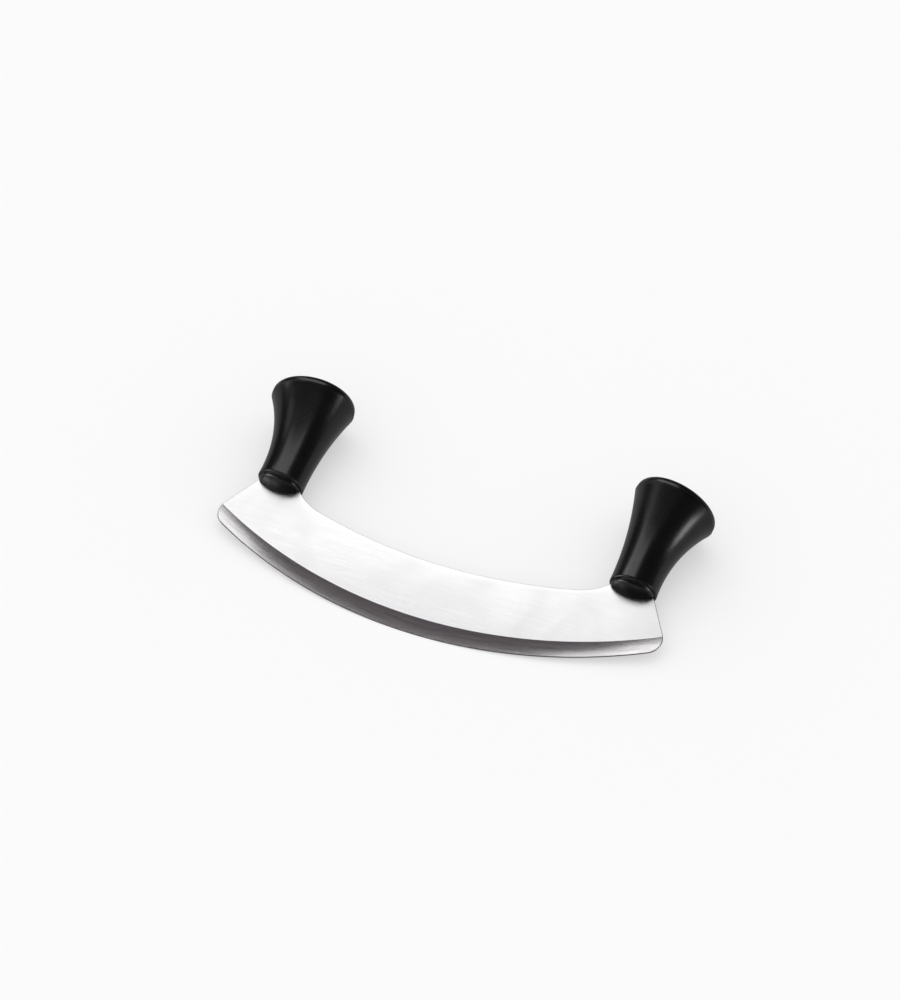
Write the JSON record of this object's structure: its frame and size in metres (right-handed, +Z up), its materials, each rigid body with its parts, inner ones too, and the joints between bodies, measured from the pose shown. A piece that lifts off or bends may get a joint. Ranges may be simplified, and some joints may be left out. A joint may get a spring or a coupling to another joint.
{
  "type": "mezzaluna",
  "caption": "Crescent chopping knife with a rocking blade and an upright flared grip at each end, lying on its side.",
  "frame": {"origin": "on the surface that the knife lies on, under the middle of its box", "axes": "+X from the left tip to the right tip, +Y from the cutting edge towards the caps, +Z up"},
  "size_m": [0.2174, 0.1052, 0.0392],
  "materials": {
    "blade_steel": "satin sheet with a ground bevel",
    "grip_plastic": "semi-gloss black moulded plastic",
    "cap_plastic": "semi-gloss black moulded plastic",
    "pin_steel": "bright drawn rod"
  },
  "bodies": {
    "root": {"blade": "blade_steel", "left_grip": "grip_plastic", "right_grip": "grip_plastic", "left_cap": "cap_plastic", "right_cap": "cap_plastic", "left_pin": "pin_steel", "right_pin": "pin_steel"}
  },
  "joints": []
}
